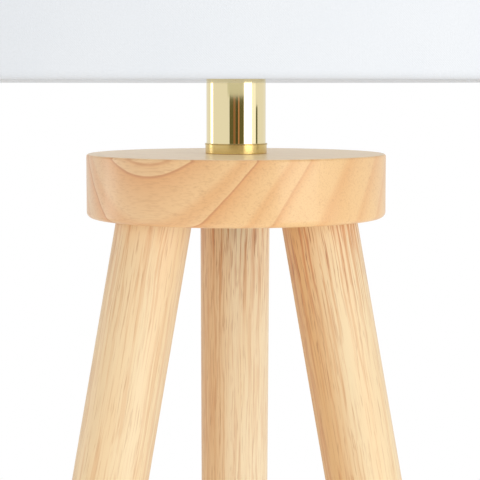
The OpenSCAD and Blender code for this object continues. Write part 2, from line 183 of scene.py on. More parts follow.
# each growth ring, from the innermost: its outer radius, how softly it ends, how dark it gets, how dark
# its last line is, and how deep the dark zone inside that line reaches
growth_rings = (
    (0.1720, 0.0004, 0.50, 0.50, 0.0060),
    (0.1860, 0.0004, 0.55, 0.60, 0.0060),
    (0.1990, 0.0005, 0.50, 0.40, 0.0070),
    (0.2130, 0.0010, 0.50, 0.30, 0.0060),
    (0.2270, 0.0020, 0.50, 0.00, 0.0080),
    (0.2423, 0.0030, 0.56, 0.00, 0.0100),
    (0.2610, 0.0040, 0.62, 0.00, 0.0140),
    (0.2779, 0.0009, 0.74, 0.45, 0.0050),
    (0.2848, 0.0020, 0.66, 0.00, 0.0060),
    (0.2943, 0.0003, 0.86, 1.00, 0.0080),
    (0.2979, 0.0035, 0.88, 0.00, 0.0050),
    (0.3065, 0.0003, 0.78, 1.00, 0.0090),
    (0.3090, 0.0004, 0.48, 0.70, 0.0025),
    (0.3112, 0.0008, 0.36, 0.40, 0.0018),
)
line_width = 0.0006
pith_distance = 0.250
fibre_turn = math.radians(-34.5)
ring_lift = math.radians(34.2)

outward = Vector((
    math.cos(ring_lift) * math.sin(fibre_turn),
    -math.cos(ring_lift) * math.cos(fibre_turn),
    math.sin(ring_lift),
))
pith = Vector((0, 0, hub_box[1].z)) - outward * pith_distance


def ramp(tree, value, stops):
    """A colour ramp. Each stop is a place and a grey or a colour."""
    node = put(tree, "ValToRGB", {"Fac": value})
    elements = node.color_ramp.elements
    while len(elements) < len(stops):
        elements.new(0.5)
    for element, (place, tone) in zip(elements, stops):
        element.position = place
        element.color = (*tone, 1) if hasattr(tone, "__len__") else (tone, tone, tone, 1)
    return node.outputs["Color"]


def blend(tree, amount, first, second):
    """Mixes two colours by amount."""
    node = put(tree, "Mix", data_type="RGBA")
    for socket, value in ((0, amount), (6, first), (7, second)):
        if isinstance(value, bpy.types.NodeSocket):
            tree.links.new(value, node.inputs[socket])
        else:
            node.inputs[socket].default_value = value if socket == 0 else (*value, 1)
    return node.outputs[2]


def noise(tree, where, scale, stretch=(1, 1, 1), detail=2.0, roughness=0.5, start=(0, 0, 0)):
    """Noise of the given scale, drawn out along the axes where stretch is small."""
    spread = put(tree, "Mapping", {"Vector": where, "Scale": stretch, "Location": start})
    inputs = {"Vector": spread.outputs[0], "Scale": scale, "Detail": detail, "Roughness": roughness}
    return put(tree, "TexNoise", inputs).outputs["Fac"]


def bump(tree, shader, height, depth):
    """Adds fine relief to a shader, on top of any that it has. depth is in metres."""
    node = put(tree, "Bump", {"Height": height, "Distance": depth, "Strength": 1.0})
    if shader.inputs["Normal"].is_linked:
        tree.links.new(shader.inputs["Normal"].links[0].from_socket, node.inputs["Normal"])
    tree.links.new(node.outputs[0], shader.inputs["Normal"])


def math_node(tree, operation, first, second=0.0):
    """One sum of two values, or of one."""
    return put(tree, "Math", {0: first, 1: second}, operation=operation).outputs[0]


def height_of(tree, place):
    """The height part of a place."""
    return put(tree, "SeparateXYZ", {0: place}).outputs["Z"]


def shifted(tree, where, scale, stretch, reach):
    """The same place, moved at random by up to about half of reach, so that straight grain wanders."""
    spread = put(tree, "Mapping", {"Vector": where, "Scale": stretch})
    inputs = {"Vector": spread.outputs[0], "Scale": scale, "Detail": 2.0, "Roughness": 0.45}
    drift = put(tree, "TexNoise", inputs).outputs["Color"]
    centred = put(tree, "VectorMath", {0: drift, 1: (0.5, 0.5, 0.5)}, operation="SUBTRACT")
    amount = put(tree, "VectorMath", {0: centred.outputs[0], "Scale": reach}, operation="SCALE")
    return put(tree, "VectorMath", {0: where, 1: amount.outputs[0]}, operation="ADD").outputs[0]


hub_wood, tree, shader = finish("hub_wood", Roughness=0.40, Coat_Weight=0.25, Coat_Roughness=0.12)
place = put(tree, "TexCoord").outputs["Object"]
plank = put(tree, "Mapping", {"Vector": place, "Location": pith, "Rotation": (0, 0, fibre_turn)},
            vector_type="TEXTURE").outputs[0]

# the fibres lie along the plank's own X, and they wander a little
bent = shifted(tree, shifted(tree, plank, 16, (0.35, 1, 1), 0.0022), 150, (0.15, 1, 1), 0.0006)
across = put(tree, "VectorMath", {0: bent, 1: (0, 1, 1)}, operation="MULTIPLY")
from_pith = put(tree, "VectorMath", {0: across.outputs[0]}, operation="LENGTH").outputs["Value"]

# each ring is darkest at its outer edge and pales inwards
fading_power = 1.9
late, line = 0.0, 0.0
for outer, softness, darkness, last_line, reach in growth_rings:
    inwards = math_node(tree, "SUBTRACT", outer, from_pith)
    begun = put(tree, "MapRange", {"Value": inwards, "From Min": -softness / 2, "From Max": softness / 2})
    fading = put(tree, "MapRange", {"Value": inwards, "From Max": reach, "To Min": 1.0, "To Max": 0.0})
    zone = math_node(tree, "POWER", fading.outputs[0], fading_power)
    zone = math_node(tree, "MULTIPLY", zone, begun.outputs[0])
    late = math_node(tree, "MAXIMUM", math_node(tree, "MULTIPLY", zone, darkness), late)
    if last_line:
        thin = put(tree, "MapRange", {"Value": inwards, "From Max": line_width,
                                      "To Min": last_line, "To Max": 0.0})
        thin = math_node(tree, "MULTIPLY", thin.outputs[0], begun.outputs[0])
        line = math_node(tree, "MAXIMUM", thin, line)

cloud = noise(tree, bent, 26, (0.35, 1, 1), 3, 0.5)
pores = noise(tree, bent, 1500, (0.11, 1, 1), 2, 0.5)
flecks = noise(tree, bent, 620, (0.10, 1, 1), 3, 0.6, (0.3, 0.1, 0))
tint = put(tree, "MapRange", {"Value": put(tree, "SeparateXYZ", {0: plank}).outputs["X"],
                              "From Min": -0.065, "From Max": 0.06}).outputs[0]

# the tones, from the palest: a cream painted on the top face as a painted reflection of the bright
# surroundings that it catches at a low angle, a tone that runs from pink at one end of the plank to
# straw at the other, its drifts, the late wood, the last line of a ring, the flecks and the pores
top_reflection_cream, pink, straw = (0.99, 0.82, 0.54), (0.875, 0.60, 0.36), (0.93, 0.615, 0.29)
honey, amber, rust = (0.845, 0.50, 0.225), (0.80, 0.385, 0.15), (0.60, 0.245, 0.11)
fleck_brown, pore_brown = (0.60, 0.29, 0.13), (0.50, 0.195, 0.085)
top_skin = 0.0002

colour = blend(tree, tint, pink, straw)
colour = blend(tree, ramp(tree, cloud, [(0.32, 0.0), (0.7, 0.40)]), colour, honey)
colour = blend(tree, late, colour, amber)
colour = blend(tree, math_node(tree, "MULTIPLY", line, 0.85), colour, rust)
# the top face is painted paler: a painted reflection, not a tone of the wood
top_reflection_zone = math_node(tree, "GREATER_THAN", height_of(tree, place), hub_box[1].z - top_skin)
colour = blend(tree, math_node(tree, "MULTIPLY", top_reflection_zone, 0.65), colour, top_reflection_cream)
colour = blend(tree, ramp(tree, flecks, [(0.58, 0.0), (0.72, 0.30)]), colour, fleck_brown)
colour = blend(tree, ramp(tree, pores, [(0.32, 0.17), (0.52, 0.0)]), colour, pore_brown)
tree.links.new(colour, shader.inputs["Base Color"])
bump(tree, shader, pores, 0.00002)
nodes["hub"].material_slots[0].material = hub_wood


# ---- Legs ----
# Three straight round legs turned from the same pale wood. The grain runs down each one in fine
# streaks and short red-brown flecks. Just below the hub the streaks grow denser and darker, partly
# painted shade under the hub, and they fade out lower down. Each leg is also darker on the side away
# from the key lamp, partly heartwood and partly painted shade.

leg_splay = math.radians(11.2)
leg_ring_radius = 0.0434
leg_turns = {"leg_back": 90, "leg_left": 210, "leg_right": 330}
# how dark each leg's darker side is, partly heartwood and partly painted shade, the way that side
# faces, away from the key lamp, and the palest tone
leg_tones = {
    # the back leg's palest tone is set paler than the others': painted light against the shade it stands in
    "leg_back": (0.9, 178, (0.97, 0.81, 0.55)),
    "leg_left": (0.2, 190, (0.89, 0.71, 0.45)),
    "leg_right": (1.0, 182, (0.885, 0.705, 0.44)),
}
leg_radius = 0.01725


def leg_wood(name, turn_deg, heart_and_shade, heart_and_shade_azimuth, pale):
    """Wood whose grain follows one leg's axis, darker on one side. The two numbers after the turn are how
    dark that side is and the way it faces: partly heartwood, partly painted shade. pale is the palest tone."""
    material, tree, shader = finish(name, Roughness=0.38, Specular_IOR_Level=0.32)
    turn = math.radians(turn_deg)
    top = Vector((leg_ring_radius * math.cos(turn), leg_ring_radius * math.sin(turn), hub_box[0].z))
    place = put(tree, "TexCoord").outputs["Object"]
    leg = put(tree, "Mapping", {"Vector": place, "Location": top, "Rotation": (0, -leg_splay, turn)},
              vector_type="TEXTURE").outputs[0]
    seed = (turn_deg * 0.013, turn_deg * 0.005, turn_deg * 0.007)
    grain = shifted(tree, shifted(tree, leg, 26, (1, 1, 0.5), 0.0034), 160, (1, 1, 0.3), 0.0009)
    broad = noise(tree, grain, 75, (1, 1, 0.09), 3, 0.55, seed)
    streaks = noise(tree, grain, 640, (1, 1, 0.022), 3, 0.6, seed)
    threads = noise(tree, grain, 1500, (1, 1, 0.03), 2, 0.5, seed)
    dashes = noise(tree, grain, 950, (1, 1, 0.06), 2, 0.6, seed)
    # denser, darker streaks just below the hub: partly grain, partly painted shade under the hub
    inputs = {"Value": height_of(tree, leg), "From Min": -0.062, "From Max": -0.002}
    streaks_and_shade_near_top = put(tree, "MapRange", inputs, interpolation_type="SMOOTHSTEP").outputs[0]
    # the darker side: partly heartwood, partly painted shade on the side away from the key lamp
    facing = math.radians(heart_and_shade_azimuth - turn_deg)
    heart_and_shade_way = (math.cos(facing), math.sin(facing), 0)
    sideways = put(tree, "VectorMath", {0: grain, 1: heart_and_shade_way}, operation="DOT_PRODUCT").outputs["Value"]
    inputs = {"Value": sideways, "From Min": -0.15 * leg_radius, "From Max": 0.75 * leg_radius}
    heart_and_shade_side = put(tree, "MapRange", inputs, interpolation_type="SMOOTHSTEP").outputs[0]

    golden, tan = (0.88, 0.60, 0.315), (0.76, 0.44, 0.185)
    streak_red, thread_brown, dash_brown = (0.66, 0.30, 0.12), (0.58, 0.28, 0.135), (0.47, 0.20, 0.09)
    colour = blend(tree, ramp(tree, broad, [(0.36, 0.0), (0.68, 0.45)]), pale, golden)
    colour = blend(tree, math_node(tree, "MULTIPLY", heart_and_shade_side, 0.85 * heart_and_shade), colour, tan)
    lively = math_node(tree, "ADD", 0.26, math_node(tree, "MULTIPLY", heart_and_shade_side, 0.30 * heart_and_shade))
    lively = math_node(tree, "ADD", lively, math_node(tree, "MULTIPLY", streaks_and_shade_near_top, 0.50 * heart_and_shade))
    for pattern, start, full, shade in ((streaks, 0.50, 0.62, streak_red),
                                        (threads, 0.54, 0.66, thread_brown),
                                        (dashes, 0.62, 0.70, dash_brown)):
        amount = math_node(tree, "MULTIPLY", ramp(tree, pattern, [(start, 0.0), (full, 1.0)]), lively)
        colour = blend(tree, amount, colour, shade)
    tree.links.new(colour, shader.inputs["Base Color"])
    bump(tree, shader, threads, 0.00003)
    return material


for leg_name, turn_deg in leg_turns.items():
    wood = leg_wood(leg_name + "_wood", turn_deg, *leg_tones[leg_name])
    nodes[leg_name].material_slots[0].material = wood


# ---- Leg fixings ----
# A zinc-plated insert is screwed into the hub over each leg, and a hanger bolt joins the
# two: a machine thread in the insert, and a coarse wood thread in the leg's end.

leg_socket = 0.010
insert_radius, insert_bore, insert_length = 0.006, 0.0041, 0.013
insert_pitch, insert_depth = 0.002, 0.0008
bolt_radius, bolt_up, bolt_down = 0.004, 0.012, 0.032
machine_pitch, machine_depth = 0.00125, 0.0007
wood_pitch, wood_depth = 0.003, 0.0012
thread_gap, bolt_point, bolt_taper = 0.002, 0.004, 0.001
# one turn of a thread, as how far along its pitch and how far out to its crest
sharp_thread = ((0, 0), (0.42, 1), (0.58, 1), (1, 0))
corner_angle = math.radians(32)


def verts_of(parts):
    """The vertices among some parts of a mesh."""
    return [part for part in parts if isinstance(part, bmesh.types.BMVert)]


def edges_of(parts):
    """The edges among some parts of a mesh."""
    return [part for part in parts if isinstance(part, bmesh.types.BMEdge)]


def threaded(root, crest, pitch, low, high, bore=0.0, steps=32, form=sharp_thread):
    """A bmesh of a screw thread between two radii, sawn level at low and high. bore is the radius of
    its plain bore, 0.0 for a solid thread, or None for a bare skin with open ends."""
    shape = bmesh.new()
    start = low - 1.5 * pitch
    turns = math.ceil((high - start) / pitch) + 1
    corners = []
    for along, lift in form:
        corners.append(shape.verts.new((root + (crest - root) * lift, 0, start + pitch * along)))
    edges = [shape.edges.new(pair) for pair in zip(corners, corners[1:])]
    bmesh.ops.spin(shape, geom=corners + edges, axis=(0, 0, 1), cent=(0, 0, 0), dvec=(0, 0, pitch / steps),
                   angle=2 * math.pi * turns, steps=steps * turns)
    bmesh.ops.remove_doubles(shape, verts=shape.verts, dist=pitch * 0.01)
    for level, cleared in ((low, "clear_inner"), (high, "clear_outer")):
        everything = shape.verts[:] + shape.edges[:] + shape.faces[:]
        bmesh.ops.bisect_plane(shape, geom=everything, dist=1e-7, plane_co=(0, 0, level), plane_no=(0, 0, 1),
                               **{cleared: True})
    open_edges = [edge for edge in shape.edges if edge.is_boundary]
    if bore is None:
        return shape
    if not bore:
        bmesh.ops.holes_fill(shape, edges=open_edges)
        return shape
    bore_edges = []
    for level in (low, high):
        ring = bmesh.ops.create_circle(shape, segments=steps, radius=bore,
                                       matrix=Matrix.Translation((0, 0, level)))
        rim = list({edge for vert in ring["verts"] for edge in vert.link_edges})
        thread_end = [edge for edge in open_edges if abs(edge.verts[0].co.z - level) < 1e-6]
        bmesh.ops.triangle_fill(shape, edges=rim + thread_end, use_beauty=True, normal=(0, 0, 1))
        bore_edges += rim
    bmesh.ops.bridge_loops(shape, edges=bore_edges)
    return shape


def turned(shape, outline, hollow=False, steps=64):
    """Turns an outline of (radius, height) points into shape, as on a lathe. A hollow one is a
    closed loop."""
    corners = [shape.verts.new((radius, 0, height)) for radius, height in outline]
    edges = [shape.edges.new(pair) for pair in zip(corners, corners[1:] + corners[:1] * hollow)]
    bmesh.ops.spin(shape, geom=corners + edges, axis=(0, 0, 1), cent=(0, 0, 0), dvec=(0, 0, 0),
                   angle=2 * math.pi, steps=steps, use_merge=True)


def together(*shapes):
    """Puts several bmeshes into one."""
    whole = bmesh.new()
    for shape in shapes:
        carrier = bpy.data.meshes.new("carrier")
        shape.to_mesh(carrier)
        whole.from_mesh(carrier)
        bpy.data.meshes.remove(carrier)
        shape.free()
    return whole


def repeated(shape, places):
    """Copies a shape to each place, and takes the first one away."""
    first = shape.verts[:] + shape.edges[:] + shape.faces[:]
    for place in places:
        copy = bmesh.ops.duplicate(shape, geom=first)
        bmesh.ops.transform(shape, matrix=place, verts=verts_of(copy["geom"]))
    bmesh.ops.delete(shape, geom=verts_of(first), context="VERTS")
    return shape


def made(name, shape, material, body, replaced=(), eased=0.0):
    """Closes a shape's seams, eases its corners, and makes it a finished piece that rides on a body."""
    bmesh.ops.remove_doubles(shape, verts=shape.verts, dist=1e-6)
    bmesh.ops.recalc_face_normals(shape, faces=shape.faces)
    if eased:
        sharp = [edge for edge in shape.edges if edge.is_manifold and edge.calc_face_angle() > corner_angle]
        bmesh.ops.bevel(shape, geom=sharp, offset=eased, offset_type="OFFSET", segments=2, profile=0.5,
                        affect="EDGES", material=-1, clamp_overlap=True)
    mesh = bpy.data.meshes.new(name)
    shape.to_mesh(mesh)
    shape.free()
    mesh.shade_smooth()
    mesh.set_sharp_from_angle(angle=corner_angle)
    mesh.materials.append(material)
    piece = bpy.data.objects.new(name, mesh)
    bpy.context.collection.objects.link(piece)
    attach(piece, body)
    if replaced:
        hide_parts(*replaced)
    return piece


def surface(name, first, second, grain, relief, stretch=(1, 1, 1), **numbers):
    """A finish that drifts between two tones, with a fine grain in its gloss and its relief."""
    material, tree, shader = finish(name, **numbers)
    place = put(tree, "TexCoord").outputs["Object"]
    drift = noise(tree, place, grain, stretch, 3, 0.6)
    tree.links.new(ramp(tree, drift, [(0.3, first), (0.7, second)]), shader.inputs["Base Color"])
    rough = numbers["Roughness"]
    gloss = put(tree, "MapRange", {"Value": noise(tree, place, 2.2 * grain, stretch, 2, 0.5, (0.4, 0.2, 0.1)),
                                   "To Min": 0.8 * rough, "To Max": 1.25 * rough})
    tree.links.new(gloss.outputs[0], shader.inputs["Roughness"])
    bump(tree, shader, noise(tree, place, 7 * grain, stretch, 2, 0.5), relief)
    return material


def on_leg(turn_deg):
    """From a leg's own axis, with its zero at the hub's underside, to where the leg stands."""
    turn = Matrix.Rotation(math.radians(turn_deg), 4, "Z")
    out = Matrix.Translation((leg_ring_radius, 0, hub_box[0].z))
    return turn @ out @ Matrix.Rotation(-leg_splay, 4, "Y")


zinc = surface("zinc_plate", (0.50, 0.52, 0.55), (0.66, 0.67, 0.66), 220, 0.00001,
               Metallic=1.0, Roughness=0.38)
leg_places = [on_leg(turn_deg) for turn_deg in leg_turns.values()]

insert = threaded(insert_radius - insert_depth, insert_radius, insert_pitch,
                  leg_socket, leg_socket + insert_length, insert_bore)
made("leg_inserts_threaded", repeated(insert, leg_places), zinc, "stand", ["leg_inserts"])

middle = leg_socket - thread_gap
bolt_end = leg_socket - bolt_down
point_top = bolt_end + bolt_point
machine_end = threaded(bolt_radius - machine_depth, bolt_radius, machine_pitch, middle, leg_socket + bolt_up)
wood_end = threaded(bolt_radius - wood_depth, bolt_radius, wood_pitch, point_top, middle)
point = bmesh.new()
turned(point, [(0, bolt_end), (bolt_radius - bolt_taper, point_top), (0, point_top)], steps=32)
bolts = repeated(together(machine_end, wood_end, point), leg_places)
made("hanger_bolts_threaded", bolts, zinc, "stand", ["hanger_bolts"])


# ---- Feet ----
# A moulded rubber pad under each leg, with two grooves in its tread and a recess for the head of the
# wood screw that is driven up through it. The screws have a cross recess.

pad_radius, pad_height, pad_edge, pad_chamfer = 0.0135, 0.004, 0.001, 0.0003
pad_hole, pad_recess, pad_recess_depth = 0.00195, 0.0037, 0.00325
groove_depth, groove_width, groove_radii = 0.0006, 0.0014, (0.0108, 0.0076)
screw_radius, screw_pitch, screw_depth = 0.00175, 0.0018, 0.0005
screw_head, screw_head_height, screw_sunk, screw_top = 0.0035, 0.002, 0.0012, 0.020
head_crown, head_edge = 0.0004, 0.001
cross_half, cross_reach, cross_depth = 0.00035, 0.0019, 0.0011

rubber = surface("foot_rubber", (0.030, 0.026, 0.024), (0.046, 0.041, 0.038), 300, 0.00004, Roughness=0.72)

tread = [(pad_hole, pad_height), (pad_radius - pad_chamfer, pad_height),
         (pad_radius, pad_height - pad_chamfer), (pad_radius, pad_edge),
         (pad_radius - 0.3 * pad_edge, 0.3 * pad_edge), (pad_radius - pad_edge, 0)]
for groove in groove_radii:
    tread += [(groove + groove_width / 2, 0), (groove + groove_width / 3, groove_depth),
              (groove - groove_width / 3, groove_depth), (groove - groove_width / 2, 0)]
tread += [(pad_recess, 0), (pad_recess, pad_recess_depth), (pad_hole, pad_recess_depth)]

foot_places = {}
for leg_name in leg_turns:
    low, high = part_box(leg_name.replace("leg", "foot_pad"))
    foot_places[leg_name] = Matrix.Translation(((low.x + high.x) / 2, (low.y + high.y) / 2, 0))
for leg_name, place in foot_places.items():
    pad = bmesh.new()
    turned(pad, tread, hollow=True)
    bmesh.ops.transform(pad, matrix=place, verts=pad.verts)
    pad_node = leg_name.replace("leg", "foot_pad")
    made(pad_node + "_moulded", pad, rubber, "stand", [pad_node])


def sunk_slot(shape, level, half_width, reach, depth, crossed):
    """Sinks a screwdriver's slot, or a cross, into the flat face that lies at level."""
    for normal in ((1, 0, 0), (0, 1, 0)):
        for place in (-reach, -half_width, half_width, reach):
            bmesh.ops.bisect_plane(shape, geom=shape.verts[:] + shape.edges[:] + shape.faces[:], dist=1e-7,
                                   plane_co=[place * axis for axis in normal], plane_no=normal)
    chosen = []
    for face in shape.faces:
        middle = face.calc_center_median()
        wide, deep = abs(middle.x), abs(middle.y)
        inside = (wide < half_width and deep < reach) or (crossed and deep < half_width and wide < reach)
        if abs(middle.z - level) < 1e-6 and inside:
            chosen.append(face)
    sunk = bmesh.ops.extrude_face_region(shape, geom=chosen)
    bmesh.ops.translate(shape, verts=verts_of(sunk["geom"]), vec=(0, 0, depth))
    bmesh.ops.delete(shape, geom=[face for face in chosen if face.is_valid], context="FACES")


head_back = screw_sunk + screw_head_height
head = bmesh.new()
turned(head, [(0, screw_sunk), (0.7 * screw_head, screw_sunk), (0.92 * screw_head, screw_sunk + head_crown),
              (screw_head, screw_sunk + head_edge), (screw_head, head_back), (0, head_back)], steps=32)
sunk_slot(head, screw_sunk, cross_half, cross_reach, cross_depth, True)
shank = threaded(screw_radius - screw_depth, screw_radius, screw_pitch, head_back, screw_top, steps=24)
screws = repeated(together(head, shank), list(foot_places.values()))
made("foot_screws_threaded", screws, zinc, "stand", ["foot_screws"])


# ---- Clamp under the hub ----
# A washer and a nut on the hollow threaded rod draw the neck down on the hub. They sit in a pocket
# under it, behind a push-in cover of black plastic.

rod_radius, rod_bore, rod_pitch, rod_depth = 0.005, 0.0038, 0.001, 0.0005
washer_play, nut_play = 0.0002, 0.0001
cover_low, cover_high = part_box("hub_cover")
cover_radius = (cover_high.x - cover_low.x) / 2
dish = 0.0007

black_plastic = surface("black_plastic", (0.014, 0.014, 0.015), (0.024, 0.024, 0.026), 900, 0.00003,
                        Roughness=0.5)

# a raised ring and a raised rim, with the face between them set back by the dish
cover = bmesh.new()
front, back = cover_low.z, cover_high.z
turned(cover, [(0, front + dish), (0.62 * cover_radius, front + dish), (0.66 * cover_radius, front),
               (0.72 * cover_radius, front), (0.76 * cover_radius, front + dish),
               (0.86 * cover_radius, front + dish), (0.90 * cover_radius, front),
               (cover_radius, front), (cover_radius, back), (0, back)], steps=96)
made("hub_cover_moulded", cover, black_plastic, "stand", ["hub_cover"], eased=0.00025)

low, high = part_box("hub_washer")
washer = bmesh.new()
washer_bore = rod_radius + washer_play
turned(washer, [(washer_bore, low.z), (high.x, low.z), (high.x, high.z), (washer_bore, high.z)], True)
made("hub_washer_pressed", washer, zinc, "stand", ["hub_washer"], eased=0.0002)


def hex_nut(node, bore):
    """A six-sided nut with chamfered corners, as tall and as wide as its node."""
    low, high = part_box(node)
    shape = bmesh.new()
    across_corners = (high.x - low.x) / 2
    edges = []
    for radius, segments in ((across_corners, 6), (bore, 36)):
        ring = bmesh.ops.create_circle(shape, segments=segments, radius=radius)
        edges += list({edge for vert in ring["verts"] for edge in vert.link_edges})
    bmesh.ops.rotate(shape, verts=shape.verts, cent=(0, 0, 0), matrix=Matrix.Rotation(math.pi / 6, 3, "Z"))
    bmesh.ops.triangle_fill(shape, edges=edges, use_beauty=True, normal=(0, 0, 1))
    bmesh.ops.translate(shape, verts=shape.verts, vec=(0, 0, low.z))
    raised = bmesh.ops.extrude_face_region(shape, geom=shape.faces[:])
    bmesh.ops.translate(shape, verts=verts_of(raised["geom"]), vec=(0, 0, high.z - low.z))
    made(node + "_chamfered", shape, zinc, "stand", [node], eased=0.0004)


hex_nut("hub_nut", rod_radius + nut_play)

low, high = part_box("threaded_rod")
rod = threaded(rod_radius - rod_depth, rod_radius, rod_pitch, low.z, high.z, rod_bore, steps=24)
made("threaded_rod_cut", rod, zinc, "stand", ["threaded_rod"])


# ---- Cord bush ----
# A push-in bush of black plastic lines the hole where the mains lead leaves the back of the hub.

nodes["cord_bush"].material_slots[0].material = black_plastic


# ---- Neck ----
# A drawn brass tube, polished bright, stands in a pressed brass cup that is only satin finished,
# so it looks darker and deeper. The same cup, turned over, caps the tube under the lampholder.

neck_brass, tree, shader = finish("neck_brass", (0.90, 0.78, 0.47), Metallic=1.0, Roughness=0.035)
place = put(tree, "TexCoord").outputs["Object"]
bump(tree, shader, noise(tree, place, 240, (1, 1, 0.015), 2, 0.5), 0.000012)
nodes["neck_tube"].material_slots[0].material = neck_brass

lip_below_top, lip_half = 0.0003, 0.00016
lip_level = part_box("neck_collar")[1].z - lip_below_top
deep_brass, light_brass, shadow = (0.66, 0.48, 0.17), (0.78, 0.60, 0.26), (0.22, 0.14, 0.04)
cup_brass, tree, shader = finish("cup_brass", Metallic=1.0, Roughness=0.22)
place = put(tree, "TexCoord").outputs["Object"]
tone = ramp(tree, noise(tree, place, 60, (1, 1, 6), 3, 0.6), [(0.3, deep_brass), (0.7, light_brass)])
# a thin dark line painted just under the collar's top edge: painted shadow where the tube enters it
below_lip = math_node(tree, "SUBTRACT", lip_level, height_of(tree, place))
lip_shadow_line = math_node(tree, "LESS_THAN", math_node(tree, "ABSOLUTE", below_lip), lip_half)
tone = blend(tree, math_node(tree, "MULTIPLY", lip_shadow_line, 0.6), tone, shadow)
tree.links.new(tone, shader.inputs["Base Color"])
bump(tree, shader, noise(tree, place, 1500, (0.2, 0.2, 1), 2, 0.5), 0.00001)
for name in ("neck_collar", "neck_cap"):
    nodes[name].material_slots[0].material = cup_brass


# ---- Lampholder ----
# A moulded black phenolic cap, screwed on the rod, and a shell with an outer thread and a flange.
# Inside are a porcelain block, a rolled brass screw sleeve, a sprung contact and two terminals.

shell_bore = 0.0169
shell_thread_start, shell_thread_pitch, shell_thread_depth = 0.005, 0.0025, 0.0008
flange_height, flange_edge = 0.0025, 0.0003
lamp_pitch = 0.00363
sleeve_radius, sleeve_wave, sleeve_wall = 0.01345, 0.0004, 0.0003
round_thread = [(turn / 8, 0.5 - 0.5 * math.cos(math.pi * turn / 4)) for turn in range(9)]

phenolic = surface("black_phenolic", (0.010, 0.0095, 0.009), (0.020, 0.018, 0.017), 420, 0.000015,
                   Roughness=0.2)
plain_brass = surface("stamped_brass", (0.66, 0.48, 0.21), (0.80, 0.62, 0.31), 150, 0.00001,
                      Metallic=1.0, Roughness=0.3)
porcelain = surface("porcelain", (0.80, 0.77, 0.71), (0.88, 0.86, 0.81), 120, 0.00002, Roughness=0.14)

hex_nut("holder_nut", rod_radius + nut_play)
nodes["holder_cap"].material_slots[0].material = phenolic

low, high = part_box("holder_shell")
shell_radius, flange_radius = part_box("holder_cap")[1].y, high.x
flange_top, thread_foot = low.z + flange_height, low.z + shell_thread_start
shell = bmesh.new()
turned(shell, [(shell_bore, low.z), (flange_radius - flange_edge, low.z),
               (flange_radius, low.z + flange_edge), (flange_radius, flange_top - flange_edge),
               (flange_radius - flange_edge, flange_top),
               (shell_radius, flange_top), (shell_radius, thread_foot), (shell_bore, thread_foot)], True, 96)
thread = threaded(shell_radius - shell_thread_depth, shell_radius, shell_thread_pitch,
                  thread_foot, high.z, shell_bore, 72)
made("holder_shell_threaded", together(shell, thread), phenolic, "stand", ["holder_shell"])

nodes["contact_block"].material_slots[0].material = porcelain

low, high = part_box("screw_sleeve")
sleeve = threaded(sleeve_radius - sleeve_wave / 2, sleeve_radius + sleeve_wave / 2, lamp_pitch,
                  low.z, high.z, None, 48, round_thread)
sleeve_piece = made("screw_sleeve_rolled", sleeve, plain_brass, "stand", ["screw_sleeve"])
wall = sleeve_piece.modifiers.new("wall", "SOLIDIFY")
wall.thickness, wall.offset = sleeve_wall, 1

# the centre contact is a strip bent back over itself, made from one edge that is drawn and swept
low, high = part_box("centre_contact")
strip_half, fold_radius, strip_wall = (high.y - low.y) / 2, 0.0011, 0.0005
contact = bmesh.new()
ends = [contact.verts.new((low.x, side * strip_half, low.z + strip_wall)) for side in (-1, 1)]
front = [contact.edges.new(ends)]


def drawn(shape, edges, way):
    """Draws a row of edges out along way, and returns the row at the far end."""
    result = bmesh.ops.extrude_edge_only(shape, edges=edges)["geom"]
    bmesh.ops.translate(shape, verts=verts_of(result), vec=way)
    return edges_of(result)


flat_length = high.x - low.x - fold_radius - strip_wall
front = drawn(contact, front, (flat_length, 0, 0))
fold_centre = (low.x + flat_length, 0, low.z + strip_wall + fold_radius)
fold = bmesh.ops.spin(contact, geom=front + list(front[0].verts), axis=(0, -1, 0), cent=fold_centre,
                      dvec=(0, 0, 0), angle=math.pi, steps=10)
drawn(contact, edges_of(fold["geom_last"]), (-flat_length, 0, 0))
contact_piece = made("centre_contact_bent", contact, plain_brass, "stand", ["centre_contact"])
wall = contact_piece.modifiers.new("wall", "SOLIDIFY")
wall.thickness, wall.offset = strip_wall, 0

low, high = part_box("terminal_screws")
terminal_head, terminal_head_height, terminal_crown = 0.0025, 0.002, 0.0004
terminal_shank, terminal_pitch, terminal_depth = 0.0015, 0.0005, 0.0003
slot_half, slot_depth = 0.0003, 0.0008
under_head = low.z + terminal_head_height
terminal = bmesh.new()
turned(terminal, [(0, low.z), (0.86 * terminal_head, low.z), (terminal_head, low.z + terminal_crown),
                  (terminal_head, under_head), (0, under_head)], steps=32)
sunk_slot(terminal, low.z, slot_half, 2 * terminal_head, slot_depth, False)
shank = threaded(terminal_shank - terminal_depth, terminal_shank, terminal_pitch,
                 under_head, high.z, steps=24)
terminal_at = high.y - terminal_head
terminal_places = [Matrix.Translation((0, side * terminal_at, 0)) for side in (-1, 1)]
terminals = repeated(together(terminal, shank), terminal_places)
made("terminal_screws_slotted", terminals, plain_brass, "stand", ["terminal_screws"])


# ---- Switch ----
# A brass drum on a stem presses two spring strips apart as the fluted phenolic knob is turned.

for name in ("switch_contacts", "switch_rotor"):
    nodes[name].material_slots[0].material = plain_brass
nodes["switch_knob"].material_slots[0].material = phenolic


# ---- Shade ring ----
# A notched phenolic ring that screws down on the shell and holds the shade's fitter on its flange.

nodes["shade_ring"].material_slots[0].material = phenolic


# ---- Shade frame ----
# Steel wire, powder coated white: a pressed ring with three arms, whose ends are welded to the
# shade's lower wire, and a loose wire that keeps the upper edge round.

wire_coat = surface("white_powder_coat", (0.80, 0.80, 0.79), (0.85, 0.85, 0.84), 260, 0.00003, Roughness=0.42)
for name in ("shade_fitter", "shade_lower_wire", "shade_upper_wire"):
    nodes[name].material_slots[0].material = wire_coat

